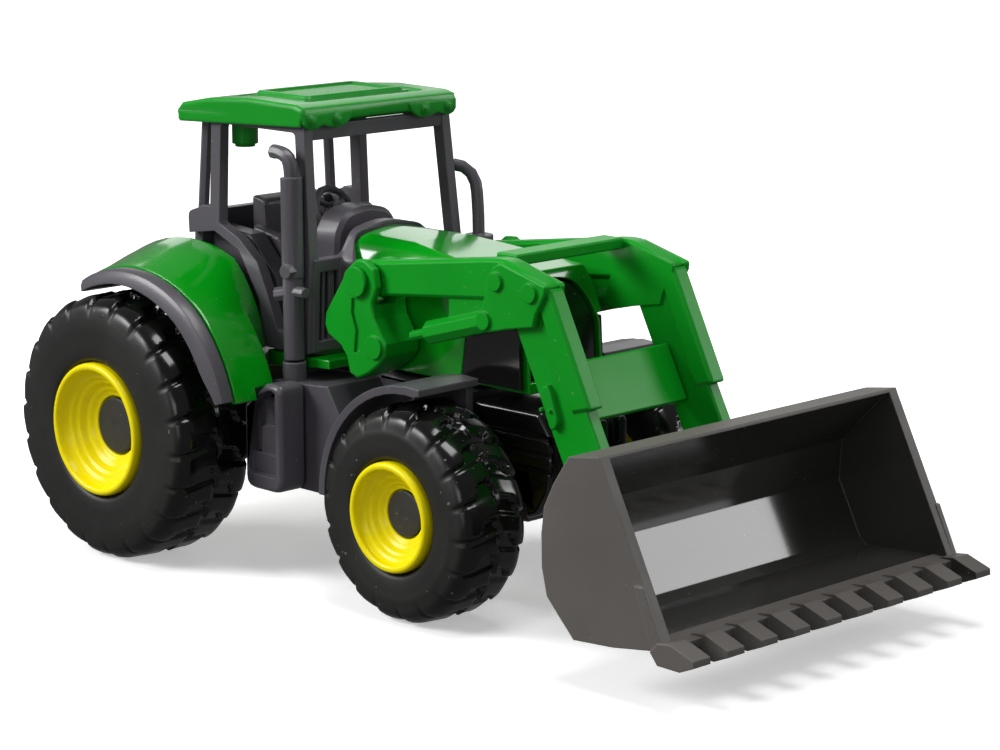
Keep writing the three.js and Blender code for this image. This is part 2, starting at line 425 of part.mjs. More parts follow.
// ---------------------------------------------------------------- loader booms
const along = [0.463, -0.886];                                 // direction of the falling part of the boom
const L1 = [29.8, 46.4], frontEdge = [46.0, 36.0];
const foot = (x, z, t) => [x + along[0] * t, z + along[1] * t];
const beam = slab('side', [[LIFT.x - 2.9, 48.6, 1.6], [LIFT.x - 1.0, 46.9], [1.6, 47.8],
  [26.5, 50.4], [35, 49],
  [37.3, 53.7, 1.0], [28.0, 56.9, 2], [24, 56.5], [1.8, 53.5], [LIFT.x - 1.2, 52.7],
    [LIFT.x - 2.9, 51.2, 1.4]],
-BOOM_OUT, -BOOM_IN, 0.5, 2);
const endCircle = Array.from({ length: 7 }, (_, i) => {
  const a = rad(-152.5 + i * 30);
  return [TILT.x + 4.3 * Math.cos(a), TILT.z + 4.3 * Math.sin(a)];
});
const web = slab('side', [[31, 50], L1, ...endCircle, foot(44.6, 36.0, -3), [36.2, 51.5]], -15.1,
  -12.7, 0.25);
const spine = slab('side', [[35.0, 50.2], [42.1, 34.9], [46.0, 36.0, 0.6], [37.3, 53.6, 0.8]],
  -BOOM_OUT, -BOOM_IN, 0.5, 2);
const elbow = [[25.9, 55.5, 1.0], [27.9, 56.4], [37.5, 53.9, 0.5], [37.3, 52.6], [35.4, 49.3], [34.8, 47.2],
  [29.4, 46.2], [24.4, 45.0, 1.2], [22.8, 46.3, 0.8], [23.9, 49.6]];
const gusset = join(slab('side', elbow, -16.5, -15.2, 0.25, 2), slab('side', elbow, -12.95, -BOOM_IN));
const pinHead = (x, z, r) => rod('y', [x, z], r, -17.0, -16.0, 12);
const barrel = strut([10.1, -14.1, 42.9], [24.2, -14.1, 46.9], 1.95, 8);
const stub = strut([5.9, -14.1, 41.8], [11, -14.1, 43.2], 0.85, 8);
const rib = slab('side', [[15.0, 44], [24.6, 46.5], [24.6, 51], [15.0, 49.6]], -14.9, -13.3);
const pad = slab('side', [[35.7, 37.6, 1.2], [37.6, 39.2, 1.2], [40.0, 33.0, 1.2],
  [38.4, 31.4, 1.2]], -16.2, -14.9, 0.2, 2);
const pips = join(rod('y', [36.6, 34.9], 0.32, -16.6, -16.0, 8), rod('y', [38.3, 34.9], 0.32, -16.6,
  -16.0, 8));
putPair('boom', cut(join(beam, web, spine, gusset, pinHead(26.9, 53.4, 1.5), pinHead(34.2, 52.5,
  1.55), pinHead(24.4, 47.0, 1.45),
  barrel, stub, rib, pad, pips), rod('y', [LIFT.x, LIFT.z], 1.85, -19, -9, 16), rod('y',
    [TILT.x, TILT.z], 1.6, -19, -9, 16)),
SATIN_GREEN);
put('bridge_plate', box(22.8, 27.1, -BOOM_IN + 0.15, BOOM_IN - 0.15, 55.2, 57.0, 0.2), SATIN_GREEN);
put('cross_brace', slab('side', [[36.6, 41.3, 0.4], [41.0, 32.8, 0.4], [39.4, 32.0, 0.4],
  [35.0, 40.5, 0.4]],
  -BOOM_IN + 0.15, BOOM_IN - 0.15), SATIN_GREEN);
putPair('bucket_pin', rod('y', [TILT.x, TILT.z], 1.25, -17.9, -10.0, 14), STEEL);

// ---------------------------------------------------------------- bucket
const shellOut = [[65.1, 35.06], [59.2, 34.2], [56.2, 29.8], [54.3, 26.0], [53.8, 22], [53.9, 17],
  [54.9, 12.8], [57.4, 10.2], [60.3, 7.3], [68, 7.8], [77.6, 9.2]];
const shellIn = [[64.85, 34.55], [56.2, 25.6], [55.7, 19.2], [60.2, 10.4], [61.6, 9.2], [77.4, 10.1],
  [90, 10.1], [90, 34.55]];
const cheekShape = [[65.1, 35.06], ...shellOut.slice(1), [77.8, 9.6]];
const sidePlate = slab('side', cheekShape, -BUCKET_HALF, -BUCKET_HALF + BUCKET_WALL);
const cheek = slab('side', [[73.9, 17.8], [77.8, 9.6], [77.4, 9.1], [75.8, 9.0], [72.3, 17.8]],
  -BUCKET_HALF - 0.45, -BUCKET_HALF + 0.5);
let bucket = join(cut(slab('side', shellOut, -BUCKET_HALF + 0.6, BUCKET_HALF - 0.6), slab('side', shellIn,
  -BUCKET_HALF + 1.7, BUCKET_HALF - 1.7)), sidePlate, mirror(sidePlate), cheek, mirror(cheek),
box(74.6, 78.9, -BUCKET_HALF + 0.4, BUCKET_HALF - 0.4, 8.7, 10.2));
const ear = slab('side', [[TILT.x - 3.3, TILT.z + 1.6, 1.5], [TILT.x - 3.3, TILT.z - 1.6, 1.5],
  [TILT.x - 1.6, TILT.z - 3.3, 1.5],
  [56, 15.5], [56, 28.2], [TILT.x - 1.4, TILT.z + 3.4, 1.5]], -17.6, -15.8);
const earIn = ear.translate([0, 5.5, 0]);
for (const e of [ear, earIn]) bucket = join(bucket, cut(e, box(55.2, 60, -20, 20, 10, 30)),
  cut(mirror(e), box(55.2, 60, -20, 20, 10, 30)));
const toothPitch = (2 * (BUCKET_HALF + 0.6) - TOOTH_WIDTH) / (TEETH - 1);
for (let i = 0; i < TEETH; i++) {
  const y = -BUCKET_HALF - 0.6 + TOOTH_WIDTH / 2 + i * toothPitch;
  bucket = join(bucket, slab('side', [[75.6, 8.9], [77.0, 7.2], [81.2, 7.1], [83.8, 8.2],
    [83.7, 9.2], [79.4, 10.7],
    [77.0, 10.4]], y - TOOTH_WIDTH / 2, y + TOOTH_WIDTH / 2, 0, 1));
}
put('bucket_shell', cut(bucket, rod('y', [TILT.x, TILT.z], 1.55, -19, -9, 14), rod('y',
  [TILT.x, TILT.z], 1.55, 9, 19, 14)),
  BUCKET_GREY);

export default group;
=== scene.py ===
# %% [markdown]
# # A toy front loader tractor
# The real toy is a snap-together farm tractor: a glossy green hood and mudguards, a purple-grey cab and
# chassis moulding, a satin green loader frame, a grey bucket, and yellow rims with soft black tyres.
# The jointed model gives every size. Here each moulding gets its fine detail and its finish.

# %% Load the jointed frame
import json
import math
import bpy
import bmesh
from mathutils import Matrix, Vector


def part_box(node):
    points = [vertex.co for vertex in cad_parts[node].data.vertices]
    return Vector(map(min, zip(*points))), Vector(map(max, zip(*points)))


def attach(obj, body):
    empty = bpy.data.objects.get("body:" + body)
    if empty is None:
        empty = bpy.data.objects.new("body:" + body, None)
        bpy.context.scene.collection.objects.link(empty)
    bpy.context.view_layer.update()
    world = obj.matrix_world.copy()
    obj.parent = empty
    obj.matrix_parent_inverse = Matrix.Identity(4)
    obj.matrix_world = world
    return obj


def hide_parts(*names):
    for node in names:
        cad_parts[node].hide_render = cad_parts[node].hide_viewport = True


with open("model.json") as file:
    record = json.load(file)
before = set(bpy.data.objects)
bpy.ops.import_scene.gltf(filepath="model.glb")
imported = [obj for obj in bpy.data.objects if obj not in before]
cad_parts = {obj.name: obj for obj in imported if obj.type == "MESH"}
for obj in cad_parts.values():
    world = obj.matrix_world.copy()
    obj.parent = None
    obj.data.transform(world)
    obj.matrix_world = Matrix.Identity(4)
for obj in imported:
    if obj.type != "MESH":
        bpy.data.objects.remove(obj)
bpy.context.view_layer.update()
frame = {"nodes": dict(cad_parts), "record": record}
MM = 0.001   # the scene is in metres, and small sizes are easier to read in mm
bodies = frame["record"]["behaviour"]["bodies"]
body_of_node = {node: body for body, nodes in bodies.items() for node in nodes}
slot_of_node = {part["node"]: part["material_slot"] for part in frame["record"]["subparts"]}

# %% [markdown]
# ## Camera
# A product photographer uses a long lens from some way off, so that the near wheel doesn't look swollen.
# The camera could track an empty, but a plain position and aim are easier to read and keep.

# %% Camera
LENS, SENSOR_WIDTH = 107.875, 36.0                       # mm
NEAREST, FURTHEST = 0.01, 10.0                           # m
CAMERA_PLACE = (0.337803, -0.334943, 0.131887)
CAMERA_TARGET = (0.003242, 0.0, 0.034158)


def aim_at(thing, place, target):
    """Puts a camera or a lamp at place and turns it towards target; returns the distance."""
    line = Vector(target) - Vector(place)
    thing.location = place
    thing.rotation_mode = "QUATERNION"
    thing.rotation_quaternion = line.to_track_quat("-Z", "Y")
    return line.length


bpy.context.scene.view_settings.view_transform = "Standard"
camera_data = bpy.data.cameras.new("product_camera")
camera_data.lens, camera_data.sensor_width = LENS, SENSOR_WIDTH
camera_data.clip_start, camera_data.clip_end = NEAREST, FURTHEST
camera = bpy.data.objects.new("product_camera", camera_data)
bpy.context.scene.collection.objects.link(camera)
bpy.context.scene.camera = camera
print("camera to toy:", round(aim_at(camera, CAMERA_PLACE, CAMERA_TARGET) / MM), "mm")

# %% [markdown]
# ## Soft boxes
# Long soft highlights make plastic look moulded. They could come from a picture of a studio, but a few large
# area lights give the same highlights and can be moved one at a time. The key box stands high on the camera's
# left, the top box lights the roof and hood, and a small box on the far side puts a glint inside the bucket.

# %% Soft boxes
SOFT_BOXES = {   # place, target and size in m, and power in W
    "key_box": ((-0.42, -0.52, 0.42), (0.0, 0.0, 0.03), (0.40, 0.34), 5.3),
    "top_box": ((0.10, 0.02, 0.62), (0.0, 0.0, 0.04), (0.34, 0.26), 2.0),
    "front_box": ((0.28, -0.60, 0.22), (0.02, 0.0, 0.03), (0.24, 0.24), 0.45),
    "back_card": ((-0.60, 0.70, 0.35), (0.0, 0.0, 0.05), (0.70, 0.30), 0.7),
    "bucket_glint_box": ((0.40, 0.46, 0.25), (0.05, 0.0, 0.015), (0.20, 0.17), 0.68),
}
for name, (place, target, size, watts) in SOFT_BOXES.items():
    light = bpy.data.lights.new(name, "AREA")
    light.shape, light.size, light.size_y, light.energy = "RECTANGLE", size[0], size[1], watts
    lamp = bpy.data.objects.new(name, light)
    bpy.context.scene.collection.objects.link(lamp)
    aim_at(lamp, place, target)

# %% [markdown]
# ## White room
# A studio's walls fill the shadows a little, and behind the toy there is only white. A dome could be modelled,
# but the world does both: its light on the toy is faint, and the camera itself sees it pure white.

# %% White room
WHITE = (1.0, 1.0, 1.0, 1.0)
FILL_LIGHT = 0.17
world = bpy.data.worlds.new("white_room")
bpy.context.scene.world = world
world.use_nodes = True
room = world.node_tree
fill = room.nodes["Background"]
fill.inputs["Color"].default_value, fill.inputs["Strength"].default_value = WHITE, FILL_LIGHT
backdrop = room.nodes.new("ShaderNodeBackground")
backdrop.inputs["Color"].default_value = WHITE
choose, ray = room.nodes.new("ShaderNodeMixShader"), room.nodes.new("ShaderNodeLightPath")
room.links.new(ray.outputs["Is Camera Ray"], choose.inputs["Fac"])
room.links.new(fill.outputs[0], choose.inputs[1])
room.links.new(backdrop.outputs[0], choose.inputs[2])
room.links.new(choose.outputs[0], room.nodes["World Output"].inputs["Surface"])
print("fill light:", FILL_LIGHT)

# %% [markdown]
# ## Shader sums as plain Python
# A finish is a small sum of patterns. Node links written by hand are long, so a socket is wrapped in a class
# that can be added and multiplied, and one method makes any other node from its type, settings and inputs.

# %% A socket that works in sums
class Value:
    """An output socket that works in sums; each sum adds one Math node."""

    def __init__(self, tree, socket):
        self.tree, self.socket = tree, socket

    def maths(self, operation, other, swap=False):
        node = self.tree.nodes.new("ShaderNodeMath")
        node.operation = operation
        for slot, item in zip(node.inputs, (other, self) if swap else (self, other)):
            if isinstance(item, Value):
                self.tree.links.new(item.socket, slot)
            else:
                slot.default_value = item
        return Value(self.tree, node.outputs[0])

    def __add__(self, other):
        return self.maths("ADD", other)

    def __sub__(self, other):
        return self.maths("SUBTRACT", other)

    def __rsub__(self, other):
        return self.maths("SUBTRACT", other, swap=True)

    def __mul__(self, other):
        return self.maths("MULTIPLY", other)

    __radd__, __rmul__ = __add__, __mul__

    def between(self, low, high):
        """0 below low, 1 above high and a smooth step from one to the other."""
        node = self.tree.nodes.new("ShaderNodeMapRange")
        node.interpolation_type = "SMOOTHSTEP"
        self.tree.links.new(self.socket, node.inputs["Value"])
        node.inputs["From Min"].default_value, node.inputs["From Max"].default_value = low, high
        return Value(self.tree, node.outputs["Result"])


print("sums ready")

# %% A finish builder
EDGE_RAYS = 5                     # rays that feel for an edge around each point
EDGE_STEP = (0.002, 0.12)         # how far the rolled normal must turn away to count as an edge


class Finish:
    """A material with one Principled shader; sockets are set by name to numbers or to Values."""

    def __init__(self, name, **sockets):
        self.material = bpy.data.materials.new(name)
        self.material.use_nodes = True
        self.tree = self.material.node_tree
        self.shader = self.tree.nodes["Principled BSDF"]
        self.place = self.node("ShaderNodeTexCoord", out="Object")
        self.set(**sockets)

    def plug(self, socket, item):
        if isinstance(item, Value):
            self.tree.links.new(item.socket, socket)
        elif isinstance(item, (tuple, list)) and len(item) == 3 and socket.type == "RGBA":
            socket.default_value = (*item, 1.0)
        else:
            socket.default_value = item

    def set(self, **sockets):
        for name, item in sockets.items():
            self.plug(self.shader.inputs[name.replace("_", " ").title().replace("Ior", "IOR")], item)

    def node(self, kind, settings=None, inputs=None, out=0):
        node = self.tree.nodes.new(kind)
        for key, item in (settings or {}).items():
            setattr(node, key, item)
        for key, item in (inputs or {}).items():
            self.plug(node.inputs[key], item)
        return Value(self.tree, node.outputs[out])

    def noise(self, scale, detail, roughness, place=None):
        return self.node("ShaderNodeTexNoise", None, {"Vector": place or self.place, "Scale": scale,
                                                      "Detail": detail, "Roughness": roughness})

    def vector(self, operation, first, second=None, out=0):
        inputs = {0: first} if second is None else {0: first, 1: second}
        return self.node("ShaderNodeVectorMath", {"operation": operation}, inputs, out)

    def blend(self, factor, low, high):
        """Colour low where factor is 0 and high where it is 1."""
        return self.node("ShaderNodeMix", {"data_type": "RGBA"}, {0: factor, 6: low, 7: high}, out=2)

    def bump(self, height, strength, distance, normal):
        return self.node("ShaderNodeBump", None, {"Height": height, "Strength": strength, "Distance": distance,
                                                  "Normal": normal})

    def rounded_edges(self, radius):
        """A normal that rolls over every edge, and a mask that is 1 on the edges."""
        soft = self.node("ShaderNodeBevel", {"samples": EDGE_RAYS}, {"Radius": radius})
        flat = self.node("ShaderNodeNewGeometry", out="Normal")
        return soft, (1.0 - self.vector("DOT_PRODUCT", soft, flat, out="Value")).between(*EDGE_STEP)


print("finish builder ready")

# %% [markdown]
# ## White sweep
# The sweep under a product is lit until it fades into the backdrop, and only a soft shadow near the toy is left.
# More lamps could light it, but they would also light the toy. So its finish glows: a little under the toy, and
# more and more towards the backdrop. The toy neither mirrors the sweep nor is lit by it.

# %% White sweep
SWEEP_HALF = 3.0                                          # m
GLOW_FROM, GLOW_TO = 0.05, 0.22                           # m from the toy's middle
GLOW_NEAR, GLOW_RISE = 0.40, 0.45
sweep = Finish("white_sweep", base_color=(0.9, 0.9, 0.9), roughness=0.9, emission_strength=1.0)
glow = sweep.vector("LENGTH", sweep.place, out="Value").between(GLOW_FROM, GLOW_TO) * GLOW_RISE + GLOW_NEAR
sweep.set(emission_color=sweep.blend(glow, (0.0, 0.0, 0.0), (1.0, 1.0, 1.0)))
floor_mesh = bpy.data.meshes.new("studio_floor")
bm = bmesh.new()
bmesh.ops.create_grid(bm, x_segments=4, y_segments=4, size=SWEEP_HALF)
bm.to_mesh(floor_mesh)
bm.free()
floor_mesh.materials.append(sweep.material)
studio_floor = bpy.data.objects.new("studio_floor", floor_mesh)
bpy.context.scene.collection.objects.link(studio_floor)
studio_floor.visible_glossy = studio_floor.visible_diffuse = False
print("sweep width in m:", 2 * SWEEP_HALF)

# %% [markdown]
# ## Moulded plastic
# Injection moulded plastic is never one flat colour: pigment swirls a little, the skin has a faint orange peel
# and a few specks of dust stick to it; its edges get a painted highlight, a touch paler. Each colour could have
# its own nodes, but one recipe with a few numbers for colour, gloss and texture serves all the hard plastics.

# %% The moulded plastic recipe
SWIRL = (38.0, 3.0, 0.55)             # pigment: waves in a metre, detail and roughness
CLOUD = (140.0, 2.0, 0.5)             # patches of gloss
SKIN = (2600.0, 2.0, 0.6)             # orange peel
SPECKS = (1500.0, 1.0, 0.4)           # dust
MIDDLE_BAND = (0.3, 0.7)              # the part of a noise where one colour turns into the other
SPECK_PEAKS = (0.775, 0.80)           # only the highest peaks of a noise hold dust
DUST_COLOUR = (0.55, 0.55, 0.52)
DUST_ROUGHNESS, EDGE_ROUGHNESS, CLOUD_ROUGHNESS = 0.4, 0.05, 0.35
PEEL_DEPTH = 0.05 * MM


def moulded_finish(name, colour, painted_edge_highlight, deep, roughness, peel, coat=0.0, edge=0.25, radius=0.3, dust=0.2,
                   shine=0.5):
    """A colour with deep swirls and a painted edge highlight of strength edge; peel is the skin's texture, radius
    the rounding in mm.
    """
    finish = Finish(name, coat_roughness=0.08, ior=1.48, specular_ior_level=shine)
    normal, edges = finish.rounded_edges(radius * MM)
    swirl, cloud, skin = finish.noise(*SWIRL), finish.noise(*CLOUD), finish.noise(*SKIN)
    specks = finish.noise(*SPECKS).between(*SPECK_PEAKS) * dust
    tint = finish.blend(swirl.between(*MIDDLE_BAND), deep, colour)
    # painted highlight: every edge is blended towards a paler colour, as if it caught the light
    tint = finish.blend(edges * edge, tint, painted_edge_highlight)
    tint = finish.blend(specks, tint, DUST_COLOUR)
    rough = (roughness + (cloud - 0.5) * (CLOUD_ROUGHNESS * roughness) + edges * EDGE_ROUGHNESS
             + specks * DUST_ROUGHNESS)
    height = skin * 0.6 + cloud * 0.4
    finish.set(base_color=tint, roughness=rough, normal=finish.bump(height, peel, PEEL_DEPTH, normal))
    if coat:
        finish.set(coat_weight=coat - cloud * 0.1 * coat)
    return finish.material


# In each plastic here and below, the second colour is a painted highlight on its edges and the third its deep
# swirl.
FINISHES = {
    "gloss_green": moulded_finish(
        "hood_gloss_green", (0.001, 0.300, 0.008), painted_edge_highlight=(0.03, 0.48, 0.05), deep=(0.001, 0.265, 0.006),
        roughness=0.14, peel=0.06, coat=0.7),
    "loader_green": moulded_finish(
        "loader_satin_green", (0.005, 0.335, 0.017), painted_edge_highlight=(0.05, 0.54, 0.08), deep=(0.003, 0.290, 0.013),
        roughness=0.30, peel=0.24, shine=0.22),
    "cab_plastic": moulded_finish(
        "cab_purple_grey", (0.098, 0.089, 0.106), painted_edge_highlight=(0.24, 0.23, 0.26), deep=(0.076, 0.069, 0.082),
        roughness=0.36, peel=0.30, coat=0.1),
    "bucket_grey": moulded_finish(
        "bucket_brown_grey", (0.122, 0.112, 0.102), painted_edge_highlight=(0.27, 0.255, 0.24), deep=(0.102, 0.093, 0.085),
        roughness=0.50, peel=0.42, edge=0.4),
    "grille_black": moulded_finish(
        "grille_gloss_black", (0.009, 0.009, 0.009), painted_edge_highlight=(0.06, 0.06, 0.06), deep=(0.006, 0.006, 0.006),
        roughness=0.16, peel=0.12, coat=0.4),
    "hub_grey": moulded_finish(
        "hub_dark_grey", (0.031, 0.030, 0.028), painted_edge_highlight=(0.09, 0.09, 0.08), deep=(0.024, 0.023, 0.022),
        roughness=0.55, peel=0.45, dust=0.3),
    "wheel_yellow": moulded_finish(
        "rim_yellow", (0.98, 0.84, 0.0), painted_edge_highlight=(1.0, 0.92, 0.05), deep=(0.95, 0.79, 0.0),
        roughness=0.26, peel=0.14, shine=0.3),
}
roof_green = moulded_finish(
    "roof_satin_green", (0.005, 0.300, 0.016), painted_edge_highlight=(0.05, 0.50, 0.08), deep=(0.003, 0.255, 0.012),
    roughness=0.24, peel=0.30, radius=0.8, shine=0.4)
# Painted shade: the bucket's inside is a much darker copy of the bucket grey; its gloss is real polish.
bucket_gloss_and_painted_shade = moulded_finish(
    "bucket_polished_inside_painted_shade", (0.046, 0.045, 0.042), painted_edge_highlight=(0.15, 0.145, 0.14), deep=(0.038, 0.037, 0.034),
    roughness=0.11, peel=0.06, coat=0.3)
print("plastics:", sorted(FINISHES))

# %% [markdown]
# ## Drawn steel
# Both axles and the bucket pins are cut from drawn wire, which has fine bright lines along its length. Scratches
# could be modelled, but a noise that is stretched along the wire is enough at this size.

# %% Drawn steel
WIRE_STRETCH = (2400.0, 40.0, 2400.0)                     # waves in a metre; few of them along the wire
pin_steel = Finish("pin_drawn_steel", metallic=1.0)
drawn = pin_steel.node("ShaderNodeMapping", None, {"Vector": pin_steel.place, "Scale": WIRE_STRETCH})
lines = pin_steel.noise(1.0, 2.0, 0.5, drawn)
pin_steel.set(base_color=pin_steel.blend(lines, (0.42, 0.42, 0.43), (0.66, 0.66, 0.67)),
              roughness=0.22 + lines * 0.2)
FINISHES["pin_steel"] = pin_steel.material
print("finishes:", sorted(FINISHES))

# %% [markdown]
# ## Tyre rubber
# The soft tyre is two finishes in one: the tread blocks come out of a polished mould and shine, and the side
# wall is matt with a little grey bloom. Two materials would meet in a hard line, so one material asks how far
# each point is from the axle. Each wheel has its own copy, centred on its axle.

# %% The rubber recipe
BLOOM = (90.0, 3.0, 0.6)              # waves in a metre, detail and roughness
GRAIN = (2200.0, 2.0, 0.6)
RUBBER_SPECKS = (1300.0, 1.0, 0.4)
RUBBER_PEAKS = (0.765, 0.79)
WALL_DARK, WALL_PALE = (0.0070, 0.0066, 0.0060), (0.0115, 0.011, 0.010)
BLOCK_DARK, BLOCK_PALE = (0.003, 0.0029, 0.0028), (0.0055, 0.0052, 0.005)
# the first colour is a painted highlight on the rubber's edges, the second real dust
RUBBER_EDGE_HIGHLIGHT, RUBBER_DUST = (0.035, 0.034, 0.032), (0.4, 0.39, 0.37)
WALL_ENDS, TREAD_STARTS = 1.9, 0.5    # mm in from the tread
RUBBER_ROUNDING = 0.18                # mm


def rubber_finish(name, centre, tread_radius):
    """Matt wall and shiny tread about the axle at centre (x, z); all in metres."""
    finish = Finish(name, ior=1.5)
    local = finish.vector("SUBTRACT", finish.place, (centre[0], 0.0, centre[1]))
    radius = finish.vector("LENGTH", finish.vector("MULTIPLY", local, (1.0, 0.0, 1.0)), out="Value")
    tread = radius.between(tread_radius - WALL_ENDS * MM, tread_radius - TREAD_STARTS * MM)
    bloom, grain = finish.noise(*BLOOM), finish.noise(*GRAIN)
    dust = finish.noise(*RUBBER_SPECKS).between(*RUBBER_PEAKS) * 0.3
    normal, edges = finish.rounded_edges(RUBBER_ROUNDING * MM)
    wall = finish.blend(bloom.between(*MIDDLE_BAND), WALL_DARK, WALL_PALE)
    block = finish.blend(bloom, BLOCK_DARK, BLOCK_PALE)
    # painted highlight: edges are blended 0.3 of the way towards a paler grey
    tint = finish.blend(edges * 0.3, finish.blend(tread, wall, block), RUBBER_EDGE_HIGHLIGHT)
    tint = finish.blend(dust, tint, RUBBER_DUST)
    finish.set(base_color=tint, roughness=0.52 - tread * 0.36 + (bloom - 0.5) * 0.16 + dust * 0.3,
               normal=finish.bump(grain * (1.0 - tread * 0.8), 0.22, PEEL_DEPTH, normal))
    return finish.material


print("rubber recipe ready")

# %% [markdown]
# ## Placing a piece
# Each visible piece stands for one node of the jointed model. Its object could be moved into place, but it stays
# at the origin with its place in its mesh, so that patterns don't slide. It rides on the node's body and takes
# the node's finish. Shallow angles are shaded as one curve, and sharper ones stay crisp.

# %% Smooth a mesh and place it
CURVE_ANGLE = 32.0   # degrees; a sharper edge stays crisp


def smooth_by_angle(bm, degrees):
    for face in bm.faces:
        face.smooth = True
    for edge in bm.edges:
        edge.smooth = len(edge.link_faces) == 2 and edge.calc_face_angle(0.0) < math.radians(degrees)


def add_piece(name, bm, node, material=None, degrees=CURVE_ANGLE, outward=True, weighted=True):
    """Stores bm as a mesh object that replaces a node; returns the object."""
    if outward:
        bmesh.ops.recalc_face_normals(bm, faces=bm.faces)
    smooth_by_angle(bm, degrees)
    mesh = bpy.data.meshes.new(name)
    bm.to_mesh(mesh)
    bm.free()
    mesh.materials.append(material or FINISHES[slot_of_node[node]])
    piece = bpy.data.objects.new(name, mesh)
    bpy.context.scene.collection.objects.link(piece)
    if weighted:
        piece.modifiers.new("even_shading", "WEIGHTED_NORMAL").keep_sharp = True
    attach(piece, body_of_node[node])
    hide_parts(node)
    return piece


print("bodies to ride on:", sorted(bodies))

# %% [markdown]
# ## Tyres
# A real tyre of this kind is pressed in two halves that meet on a centre line, with the blocks of one half set
# half a pitch from the other. Separate blocks could be stuck on a ring, but moulded rubber has soft roots,
# so one fine sheet is wrapped round the wheel and its skin is raised where a block stands.

# %% The tyre section
WHEELS = {   # sizes in mm; blocks a side, and the mesh's steps across one half and along each block
    "rear": {"blocks": 22, "rim": 11.2, "block_height": 0.95, "across": 46, "per_block": 24},
    "front": {"blocks": 18, "rim": 8.75, "block_height": 0.95, "across": 42, "per_block": 26},
}


def tyre_section(base, rim, half):
    """Radius and distance from the centre plane of one half, from the bead over the wall to the centre line."""
    bead = [(rim - 0.7, half - 4.5), (rim - 0.7, half - 1.6), (rim + 0.25, half - 1.1), (rim + 0.4, half - 0.5)]
    wall = [(rim + 0.75, half - 0.22), (rim + 1.3, half - 0.12), (rim + 2.2, half - 0.03), (rim + 3.6, half),
            (rim + 0.6 * (base - rim), half + 0.02), (base - 2.4, half - 0.10)]
    shoulder = [(base - 1.5, half - 0.45), (base - 0.8, half - 0.95), (base - 0.35, half - 1.5),
                (base - 0.1, half - 2.2), (base, half - 3.2)]
    crown = [(base + 0.12, half * 0.25), (base + 0.16, 0.0)]
    return bead + wall + shoulder + crown


def along_section(points, t):
    """A point at fraction t of the section's length."""
    lengths = [math.dist(a, b) for a, b in zip(points, points[1:])]
    want = t * sum(lengths)
    for (a, b), length in zip(zip(points, points[1:]), lengths):
        if want <= length:
            f = want / length
            return a[0] + (b[0] - a[0]) * f, a[1] + (b[1] - a[1]) * f
        want -= length
    return points[-1]


print("tyre blocks a side:", {label: wheel["blocks"] for label, wheel in WHEELS.items()})

# %% Where a block stands
GROOVE_LEAN, HALF_PITCH = 0.30, 0.5          # in pitches: slant of a groove, offset of the second half
FLANK = 0.34                                 # mm, run of a block's sloping flank
GROOVE, POCKET = 0.09, 0.31                  # in pitches: width of a groove, and what its pocket adds
POCKET_START, POCKET_END = (0.03, 0.10), (0.42, 0.56)     # as shares of the half's width
TOP_FALL, FALL_FROM = 0.42, 0.30             # a block's top falls by this share, from this place in its pitch
SHOULDER = (2.5, 1.0)                        # mm in from the base: blocks rise over this part of the shoulder
SEAM, SEAM_KEEPS = (0.05, 0.25), 0.6         # mm from the centre line, and the height left in it


def smooth_step(value, low, high):
    t = min(max((value - low) / (high - low), 0.0), 1.0)
    return t * t * (3.0 - 2.0 * t)


def block_rise(angle, y, radius, wheel, base, half):
    """How far the skin stands out at a place: 1 on a block's top, 0 in a groove and on the side wall."""
    pitch = 2.0 * math.pi / wheel["blocks"]
    across = abs(y) / half
    phase = (angle / pitch + GROOVE_LEAN * across + (HALF_PITCH if y < 0.0 else 0.0)) % 1.0
    flank = FLANK / (base * pitch)
    pocket = (1.0 - smooth_step(across, *POCKET_END)) * smooth_step(across, *POCKET_START)
    groove = GROOVE + POCKET * pocket
    top = smooth_step(phase, groove - flank, groove + flank) * (1.0 - smooth_step(phase, 1.0 - flank * 2, 1.0))
    fall = 1.0 - TOP_FALL * smooth_step(phase, FALL_FROM, 1.0)
    shoulder = smooth_step(radius, base - SHOULDER[0], base - SHOULDER[1])
    seam = smooth_step(abs(y), *SEAM) if top > 0.0 else 1.0
    return top * fall * shoulder * (SEAM_KEEPS + (1.0 - SEAM_KEEPS) * seam)


print("a groove takes", GROOVE, "of a pitch, and", GROOVE + POCKET, "at its pocket")

# %% Wrap a tyre round each wheel
SPLAY_FROM, SPLAY_TO = 3.2, 0.6              # mm in from the wall: blocks on this part of the shoulder
SPLAY_DROP, SPLAY_OUT = 0.45, 0.25           # rise less outwards from the axle and a little sideways


